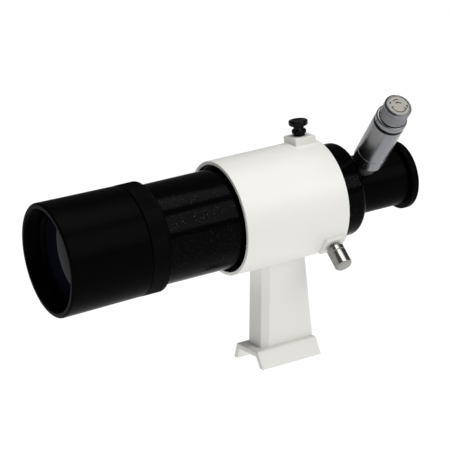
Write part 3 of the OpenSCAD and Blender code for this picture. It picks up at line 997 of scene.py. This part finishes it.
@dataclass
class MainTube:
    """The tube, the O-ring that it swivels in, and the rear cell that steps down to the eyepiece."""

    rear_round: float = 3.5
    rear_step: float = 1.25
    wall: float = 1.6

    def build(self) -> None:
        """Makes and dresses the pieces."""
        line = tube_spindle()
        turner = Turner(line, LARGE)
        tube = line.span("main_tube")
        bore = tube.radius - self.wall
        turner.piece("main_tube_wall",
                     [(bore, tube.low), (tube.radius, tube.low), (tube.radius, tube.high), (bore, tube.high)],
                     FLECKED_BLACK, "tube", "gloss_black", ["main_tube"], 0.3)
        seal = line.span("pivot_oring")
        thick = seal.radius - tube.radius
        round_seal = arc((tube.radius + thick / 2, (seal.low + seal.high) / 2), thick / 2, 0, 337.5, 15)
        turner.piece("pivot_seal", round_seal, RUBBER, "swivel_ring", "rubber", ["pivot_oring"])
        cell = line.span("rear_cell")
        outer = tube.radius - self.rear_step
        neck = line.span("eyepiece_barrel").radius - 1
        edge = arc((outer - self.rear_round, cell.high - self.rear_round), self.rear_round, 0, 90, 10)
        turner.piece("rear_cell_body",
                     [(bore - 2, cell.low), (bore - 0.05, cell.low), (bore - 0.05, tube.high + 0.05),
                      (outer, tube.high + 0.05), (outer, tube.high + 0.6), *edge, (neck, cell.high),
                      (neck, cell.high - 4), (bore - 2, cell.high - 8)],
                     FLECKED_BLACK, "tube", "gloss_black", ["rear_cell"], 0.25)


@dataclass
class Objective:
    """The front end: the shade with its ridged mouth, the retainer, the glass and the knurled lock ring."""

    ridge: float = 0.35
    ridge_pitch: float = 0.8
    ridge_first: float = 1.6
    taper: float = 0.7
    rim: float = 1.5
    crown_edge: float = 2.2
    knurl_depth: float = 0.16
    knurl_count: int = 150

    def shade(self, turner: Turner) -> None:
        """The shade, with fine ridges inside its mouth.

        Args:
            turner: The tube's turner.
        """
        line = turner.spindle
        shade = line.span("lens_shade")
        cell = line.span("lens_cell")
        tube = line.span("main_tube")
        retainer = line.span("lens_retainer")
        bore = cell.radius + 0.05
        ridges: Points = []
        z = shade.low + self.ridge_first
        while z + self.ridge_pitch < retainer.low - 0.4:
            ridges += [(bore, z), (bore + self.ridge, z + self.ridge_pitch * 0.45)]
            z += self.ridge_pitch
        sleeve = tube.radius + 0.1
        outline = [(bore + 0.9, shade.low), *ridges, (bore, z), (bore, cell.high + 0.05),
                   (sleeve, cell.high + 0.55), (sleeve, shade.high), (shade.radius - self.taper, shade.high),
                   (shade.radius, shade.low + 0.8), (shade.radius - 0.8, shade.low)]
        turner.piece("lens_shade_body", outline, SATIN_BLACK, "objective_shade", "satin_black",
                     ["lens_shade"], 0.3)

    def retainer(self, turner: Turner) -> None:
        """The screwed ring that holds the glass, stepped and coned towards the front.

        Args:
            turner: The tube's turner.
        """
        line = turner.spindle
        ring = line.span("lens_retainer")
        clear = line.span("crown_lens").radius - self.rim
        top = ring.radius
        turner.piece("lens_retainer_ring",
                     [(top - 0.7, ring.low), (top, ring.low + 0.2), (top, ring.high), (clear, ring.high),
                      (clear, ring.high - 0.55), (top - 1.6, ring.low + 0.9), (top - 0.7, ring.low + 0.9)],
                     SATIN_BLACK, "objective_shade", "flat_black", ["lens_retainer"], 0.08)

    def glass(self, turner: Turner) -> None:
        """The two elements, with smooth domes.

        Args:
            turner: The tube's turner.
        """
        line = turner.spindle
        lens = line.span("crown_lens")
        foil = line.span("lens_foil")
        flint = line.span("flint_lens")
        edge, clear = foil.low - self.crown_edge, lens.radius - self.rim
        inner = lens.high - foil.low
        crown = [*dome(clear, edge, lens.low - edge), (lens.radius, edge), (lens.radius, foil.low),
                 *reversed(dome(clear, foil.low, inner))]
        rear = [*dome(clear, flint.low, inner), (lens.radius, flint.low), (lens.radius, flint.high),
                (clear, flint.high), (0, flint.high - 0.3)]
        elements = (("front_element", crown, "crown_lens"), ("rear_element", rear, "flint_lens"))
        for name, outline, node in elements:
            turner.piece(name, outline, GLASS, "objective_glass", "glass", [node], 0.1)

    def lock_ring(self, turner: Turner) -> None:
        """The knurled ring that locks the shade's focus.

        Args:
            turner: The tube's turner.
        """
        line = turner.spindle
        ring = line.span("lock_ring")
        inner = line.span("main_tube").radius + 0.1
        rim = ring.radius
        outline = [(inner, ring.low), (rim - 0.8, ring.low),
                   *rows((rim - 0.55, ring.low + 0.12), (rim, ring.low + 0.7), 0.15),
                   *rows((rim, ring.low + 1.0), (rim, ring.high - 1.1), 0.8), (rim, ring.high - 0.8),
                   (rim - 0.75, ring.high - 0.05), (rim - 0.85, ring.high), (inner, ring.high)]
        Turner(line, self.knurl_count * 4).knurled(
            "lock_ring_knurled", outline, MATT_BLACK, "lock_ring", "satin_black", ["lock_ring"],
            Relief.ONE_WAY, rim=rim - 0.6, low=ring.low - 0.1, high=ring.high - 1.0, fade=0.3,
            count=self.knurl_count, slant=0.0, depth=self.knurl_depth)

    def build(self) -> None:
        """Makes and dresses the front end."""
        turner = Turner(tube_spindle(), LARGE)
        self.shade(turner)
        self.retainer(turner)
        self.glass(turner)
        self.lock_ring(turner)


@dataclass
class Eyepiece:
    """The barrel, the end ring that turns on it, and the eye lens."""

    wall: float = 2.0
    groove: float = 1.2
    spigot: float = 1.05
    rise: float = 1.6

    def build(self) -> None:
        """Makes and dresses the pieces."""
        line = tube_spindle()
        turner = Turner(line)
        barrel = line.span("eyepiece_barrel")
        cell = line.span("rear_cell")
        outer = barrel.radius
        bore, spigot, groove = outer - self.wall, outer - self.spigot, outer - 1.2
        shoulder, end = cell.high + 0.05, barrel.high - self.groove
        turner.piece("eyepiece_barrel_wall",
                     [(bore, barrel.low), (spigot, barrel.low), (spigot, shoulder), (outer, shoulder),
                      (outer, end), (groove, end), (groove, barrel.high), (bore, barrel.high)],
                     SATIN_BLACK, "tube", "satin_black", ["eyepiece_barrel"], 0.3)
        ring = line.span("eye_ring")
        lens = line.span("eye_lens")
        mouth = lens.radius + 1.8
        rim = ring.radius
        rounds = [*arc((rim - 0.9, ring.low + 0.9), 0.9, -90, 0, 5),
                  *arc((rim - 1.2, ring.high - 1.2), 1.2, 0, 90, 6)]
        turner.piece("end_ring",
                     [(mouth, ring.low), *rounds, (mouth + 2.8, ring.high), (mouth, ring.high - 1.6)],
                     SATIN_BLACK, "eye_ring", "satin_black", ["eye_ring"])
        clear = lens.radius - 1.1
        low, high = lens.low + self.rise, lens.high - 1.0
        turner.piece("eye_element",
                     [*dome(clear, low, -self.rise, 16), (lens.radius, low), (lens.radius, high),
                      *reversed(dome(clear, high, 1.0, 16))],
                     GLASS, "eye_lenses", "glass", ["eye_lens"], 0.1)


@dataclass
class Illuminator:
    """The reticle's lamp: a knurled neck, a battery tube, a sealed head and a knurled brightness knob."""

    groove_height: float = 7.3
    wall: float = 1.5
    stem: float = 4.6
    bowl_inset: float = 1.9
    neck_count: int = 44
    knob_count: int = 54
    knurl_depth: float = 0.3
    mark_depth: float = 0.06
    # Each row's count, share of the card's radius, first angle, sweep, and its marks' length and width.
    marks: dict[str, tuple[float, ...]] = field(default_factory=lambda: {
        "dial_sweep": (34, 0.70, 180, 140, 0.45, 0.5),
        "dial_sweep_ends": (2, 0.64, 180, 140, 1.5, 0.5),
        "dial_ticks": (4, 0.36, 36, 70, 0.9, 0.55),
        "dial_arch": (12, 0.66, 72, 42, 0.42, 0.5),
        "dial_sides": (2, 0.80, -18, 162, 0.7, 1.7),
    })

    def neck(self, line: Spindle, tube: Span) -> None:
        """The cup-shaped neck, with a diamond knurl on its cone.

        Args:
            line: The lamp's line.
            tube: The battery tube's size.
        """
        reach = line.span("lamp_neck")
        barrel = tube_spindle().span("eyepiece_barrel").radius
        drop = tube.low - barrel
        stem, bowl = self.stem, tube.radius - self.bowl_inset
        cup = [(stem, barrel + 0.12 * drop), (stem + 1.0, barrel + 0.17 * drop),
               (bowl - 0.3, barrel + 0.32 * drop), (bowl, barrel + 0.52 * drop), (bowl, tube.low - 2.75),
               (tube.radius - 0.9, tube.low - 1.4), (tube.radius - 0.4, tube.low - 0.6)]
        knurled = [point for a, b in zip(cup, cup[1:]) for point in rows(a, b, 0.22)[:-1]]
        outline = [(0, reach.low), (stem, reach.low), *knurled, cup[-1], (tube.radius - 0.5, tube.low - 0.05),
                   (stem, tube.low - 0.05), (stem, reach.high), (0, reach.high)]
        Turner(line, self.neck_count * 5).knurled(
            "lamp_neck_cup", outline, GUNMETAL, "tube", "dark_metal", ["lamp_neck"], Relief.DIAMOND,
            rim=stem + 0.05, low=barrel + 0.2 * drop, high=tube.low - 2.4, fade=0.3,
            count=self.neck_count, slant=0.9, depth=self.knurl_depth)

    def battery_tube(self, turner: Turner, tube: Span) -> None:
        """The battery tube, with a fine groove where its base ends.

        Args:
            turner: The lamp's turner.
            tube: The tube's size.
        """
        rim, bore, groove = tube.radius, tube.radius - self.wall, tube.low + self.groove_height
        hole = self.stem + 0.05
        turner.piece("battery_tube",
                     [(hole, tube.low), (rim, tube.low), (rim, groove - 0.2), (rim - 0.25, groove - 0.12),
                      (rim - 0.25, groove + 0.12), (rim, groove + 0.2), (rim, tube.high), (bore, tube.high),
                      (bore, tube.low + 2), (hole, tube.low + 2)],
                     SATIN_SILVER, "tube", "satin_silver", ["lamp_tube"], 0.35)

    def head(self, turner: Turner) -> None:
        """The sealing ring and the head's collar.

        Args:
            turner: The lamp's turner.
        """
        line = turner.spindle
        seal = line.span("head_oring")
        bore = line.span("lamp_tube").radius - self.wall
        middle = ((seal.radius + bore + 0.1) / 2, (seal.low + seal.high) / 2)
        thick = (seal.radius - bore - 0.1) / 2
        round_seal = [(r, middle[1] + (z - middle[1]) * (seal.high - seal.low) / 2 / thick)
                      for r, z in arc(middle, thick, 0, 345, 23)]
        turner.piece("head_seal_ring", round_seal, RUBBER, "head_seal", "rubber", ["head_oring"], 0.05)
        collar = line.span("head_collar")
        rim = collar.radius
        shoulder = seal.high + 0.05
        turner.piece("head_collar_ring",
                     [(bore - 1.2, collar.low), (bore - 0.1, collar.low), (bore - 0.1, shoulder),
                      (rim, shoulder), (rim, collar.high - 0.7), (rim - 0.7, collar.high), (4, collar.high),
                      (4, collar.high - 1.2), (bore - 1.2, collar.high - 1.2)],
                     SATIN_SILVER, "lamp_head", "satin_silver", ["head_collar"], 0.25)

    def knob(self, line: Spindle) -> None:
        """The brightness knob, with a diamond knurl below its plain bevelled rim.

        Args:
            line: The lamp's line.
        """
        knob = line.span("knob")
        label = line.span("knob_label")
        rim = knob.radius
        recess = label.radius + 0.05
        low, top = knob.low, knob.high
        outline = [(rim - 1.2, low), (rim - 0.3, low), *rows((rim, low + 0.3), (rim, top - 1.9), 0.2),
                   (rim, top - 1.75), (rim, top - 1.2), (rim - 0.08, top - 0.95), (rim - 0.8, top - 0.12),
                   (rim - 1.0, top), (recess + 0.1, top), (recess, top - 0.1), (recess, top - 0.8),
                   (0, top - 0.8), (0, top - 2.55), (2.05, top - 2.55), (2.05, low + 1), (3.2, low + 1),
                   (3.2, top - 2.8), (rim - 1.2, top - 2.8)]
        Turner(line, self.knob_count * 5).knurled(
            "brightness_knob_body", outline, SATIN_SILVER, "brightness_knob", "satin_silver", ["knob"],
            Relief.DIAMOND, rim=rim - 0.2, low=low + 0.2, high=top - 1.85, fade=0.3,
            count=self.knob_count, slant=0.8, depth=self.knurl_depth)

    def label(self, turner: Turner) -> None:
        """The card in the knob's recess, with plain printed dial marks.

        Args:
            turner: The lamp's turner.
        """
        line = turner.spindle
        card = line.span("knob_label")
        radius = card.radius
        turner.piece("dial_card", [(0, card.low), (radius, card.low), (radius, card.high), (0, card.high)],
                     LABEL_CARD, "brightness_knob", "label", ["knob_label"], 0.05)
        tree = marks_tree()
        ink = LABEL_INK.material()
        height = card.high + self.mark_depth / 2 - 0.01
        for name, (count, share, first, sweep, length, width) in self.marks.items():
            marks = bare(bmesh.new(), name)
            grown(marks, tree, {
                "Count": count, "Radius": radius * share, "Start": math.radians(first),
                "Step": math.radians(sweep) / (count - 1), "Size": (length, width, self.mark_depth),
                "Height": height, "Material": ink})
            marks.data.transform(line.placing)
            settle(marks, LABEL_INK, BENCH, "brightness_knob", "label")

    def build(self) -> None:
        """Makes and dresses the illuminator."""
        line = outward_spindle("knob_label")
        turner = Turner(line)
        tube = line.span("lamp_tube")
        self.neck(line, tube)
        self.battery_tube(turner, tube)
        self.head(turner)
        self.knob(line)
        self.label(turner)


@dataclass
class AdjustingScrew:
    """A threaded stud with a moulded knob, a grooved lock nut and a nylon tip."""

    side: str
    neck: float = 1.7
    sink: float = 1.1
    thread_pitch: float = 0.8

    def build(self) -> None:
        """Makes and dresses the screw."""
        name = self.side
        line = outward_spindle(name + "_knob")
        turner = Turner(line, SMALL)
        knob, nut, stud = (line.span(f"{name}_{part}") for part in ("knob", "lock_nut", "stud"))
        rim, waist = knob.radius, nut.radius - 1.1
        head, base = knob.high, knob.low + self.neck
        hole = stud.radius + 0.05
        turner.piece(name + "_knob_head",
                     [(hole, knob.low), (waist, knob.low), (waist, base - 0.3), (rim - 0.8, base),
                      (rim, base + 0.7), (rim, head - 0.75), (rim - 0.35, head - 0.2), (rim - 1.2, head),
                      (rim - 1.9, head - 0.12), (rim - 3.2, head - 0.5), (0, head - 0.7), (0, head - 1.6),
                      (hole, head - 1.6)],
                     MOULDED_BLACK, f"{name}_screw", "black_plastic", [name + "_knob"], 0.3, 4)
        r, z, bore, sink = nut.radius, nut.low, hole + 0.05, waist + 0.1
        turner.piece(name + "_lock_ring",
                     [(bore, z), (r - 0.8, z), (r - 0.8, z + 0.6), (r - 1.05, z + 1), (r - 0.2, z + 1.5),
                      (r, z + 1.8), (r, z + 2.2), (r - 0.25, z + 2.35), (r, z + 2.5), (r, z + 2.9),
                      (r - 0.5, nut.high), (sink, nut.high), (sink, nut.high - self.sink),
                      (bore, nut.high - self.sink)],
                     MOULDED_BLACK, f"{name}_lock_nut", "black_plastic", [name + "_lock_nut"], 0.15)
        outline = [(0, stud.low + 2), (1.65, stud.low + 2), (1.65, stud.low),
                   *rows((stud.radius, stud.low), (stud.radius, stud.high), 0.2), (0, stud.high)]
        Turner(line, SMALL // 2).knurled(
            name + "_threaded_stud", outline, SATIN_SILVER, f"{name}_screw", "satin_silver", [name + "_stud"],
            Relief.ONE_WAY, rim=2.0, low=stud.low, high=stud.high - 2, fade=0.4, count=1,
            slant=1 / self.thread_pitch, depth=0.35)


@dataclass
class SpringPlunger:
    """The chromed plunger that pushes the tube against the two screws."""

    thread_pitch: float = 0.6
    guide: float = 2.45
    shank: float = 2.4

    def build(self) -> None:
        """Makes and dresses the plunger's barrel, cap and pin."""
        line = outward_spindle("plunger_cap")
        turner = Turner(line, SMALL)
        barrel, cap, pin = (line.span("plunger_" + part) for part in ("barrel", "cap", "pin"))
        rim = cap.radius
        screw, bore = rim - 0.9, rim - 1.6
        seat, guide = cap.high - PLUNGER_REACH, self.guide
        turner.piece("plunger_cap_shell",
                     [(bore, cap.low), (rim - 0.2, cap.low), (rim, cap.low + 0.2), (rim, cap.high - 0.9),
                      (rim - 0.9, cap.high), (0, cap.high), (0, cap.high - 1.5), (bore, cap.high - 1.5)],
                     STEEL, "bracket", "chrome", ["plunger_cap"], 0.12)
        inner = pin.radius + 0.05
        outline = [(guide, barrel.low), *rows((screw, barrel.low), (screw, seat + 1.8), 0.15),
                   (rim, seat + 2.05), (rim, barrel.high - 0.25), (rim - 0.2, barrel.high),
                   (inner, barrel.high), (inner, seat + 0.8), (guide, seat + 0.8)]
        Turner(line, SMALL).knurled(
            "plunger_barrel_shell", outline, STEEL, "bracket", "chrome", ["plunger_barrel"], Relief.ONE_WAY,
            rim=screw - 0.1, low=barrel.low, high=seat + 1.75, fade=0.3, count=1, slant=1 / self.thread_pitch,
            depth=0.3)
        turner.piece("plunger_pin_body",
                     [(0, pin.low), (1.0, pin.low), (self.shank, pin.low + 1.1), (self.shank, pin.high - 0.9),
                      (pin.radius, pin.high - 0.9), (pin.radius, pin.high), (0, pin.high)],
                     STEEL, "plunger_pin", "chrome", ["plunger_pin"])


@dataclass
class Internals:
    """The CAD pieces whose shapes are right as they are, which only need their finishes."""

    finishes: tuple[tuple[Finish, tuple[str, ...]], ...] = (
        (FLAT_BLACK, ("baffle_front", "baffle_middle", "baffle_rear", "lens_cell", "eye_lens_spacer",
                      "eye_lens_retainer", "eye_cell", "reticle_retainer")),
        (GUNMETAL, ("reticle_holder", "switch_body")),
        (GLASS, ("reticle_glass", "eye_field_lens")),
        (FOIL, ("lens_foil", "lower_cell", "upper_cell")),
        (NYLON, ("top_tip", "side_tip", "cell_sleeve")),
        (STEEL, ("plunger_spring", "contact_spring", "knob_shaft")),
        (BRASS, ("plunger_washer",)),
        (LED_RED, ("lamp_led",)),
        (BOARD_GREEN, ("lamp_board",)),
    )

    def build(self) -> None:
        """Gives each CAD piece its finish."""
        for finish, nodes in self.finishes:
            for node in nodes:
                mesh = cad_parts[node].data
                mesh.materials.clear()
                mesh.materials.append(finish.material())
                log.info("%s: CAD shape, %s", node, finish.name)


# ---- Studio ----


@dataclass(frozen=True)
class Softbox:
    """A square soft light. Directions and sizes are in metres from what it shines on."""

    name: str
    place: tuple[float, float, float]
    size: float
    power: float

    def build(self, target: Vector) -> None:
        """Hangs the light.

        Args:
            target: What it shines on.
        """
        data = bpy.data.lights.new(self.name, "AREA")
        data.shape, data.size, data.energy = "SQUARE", self.size, self.power
        lamp = bpy.data.objects.new(self.name, data)
        lamp.location = target + Vector(self.place)
        lamp.rotation_mode = "QUATERNION"
        lamp.rotation_quaternion = (-Vector(self.place)).to_track_quat("-Z", "Y")
        bpy.context.scene.collection.objects.link(lamp)


@dataclass
class Studio:
    """The camera, a pale floor and soft light. Angles are in degrees and lengths in metres."""

    azimuth: float = -27.58
    elevation: float = 15.60
    roll: float = -5.98
    distance: float = 1.1626
    lens: float = 176.66
    aim: tuple[float, float, float] = (-0.02366, 0.0, 0.07877)
    floor_side: float = 8.0
    ambient: float = 0.14
    lights: tuple[Softbox, ...] = (
        Softbox("overhead", (0.1, -0.2, 1.3), 1.1, 13.0),
        Softbox("key", (0.55, -1.0, 0.6), 0.8, 6.5),
    )

    def camera(self) -> None:
        """Makes the scene's camera."""
        a, e, r = (math.radians(v) for v in (self.azimuth, self.elevation, self.roll))
        back = Vector((math.sin(a) * math.cos(e), -math.cos(a) * math.cos(e), math.sin(e)))
        level = Vector((math.cos(a), math.sin(a), 0))
        upright = back.cross(level)
        right = level * math.cos(r) + upright * math.sin(r)
        up = upright * math.cos(r) - level * math.sin(r)
        data = bpy.data.cameras.new("camera")
        data.lens, data.sensor_width = self.lens, 36.0
        data.clip_start, data.clip_end = 0.05, 20.0
        camera = bpy.data.objects.new("camera", data)
        camera.matrix_world = Matrix((right, up, back)).transposed().to_4x4()
        camera.location = Vector(self.aim) + back * self.distance
        bpy.context.scene.collection.objects.link(camera)
        bpy.context.scene.camera = camera

    def floor(self) -> None:
        """Lays the pale floor at the foot's underside."""
        half = self.floor_side / 2
        bm = bmesh.new()
        corners = ((-half, -half), (half, -half), (half, half), (-half, half))
        bm.faces.new([bm.verts.new((x, y, 0)) for x, y in corners])
        floor = bare(bm, "floor")
        floor.data.materials.append(FLOOR_PAPER.material())

    def light(self) -> None:
        """Sets the soft light and the pale surroundings."""
        world = bpy.data.worlds.new("studio")
        world.use_nodes = True
        sky = world.node_tree.nodes["Background"]
        sky.inputs["Color"].default_value = (1.0, 1.0, 1.0, 1)
        sky.inputs["Strength"].default_value = self.ambient
        bpy.context.scene.world = world
        for box in self.lights:
            box.build(Vector(self.aim))
        bpy.context.scene.view_settings.view_transform = "Standard"

    def build(self) -> None:
        """Sets up the whole studio."""
        self.camera()
        self.floor()
        self.light()


def main() -> None:
    """Builds the studio and every sub-assembly."""
    logging.basicConfig(level=logging.INFO, format="%(name)s %(message)s")
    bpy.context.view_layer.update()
    Studio().build()
    for assembly in (Bracket(), MainTube(), Objective(), Eyepiece(), Illuminator(),
                     AdjustingScrew("top"), AdjustingScrew("side"), SpringPlunger(), Internals()):
        assembly.build()


if __name__ == "__main__":
    main()
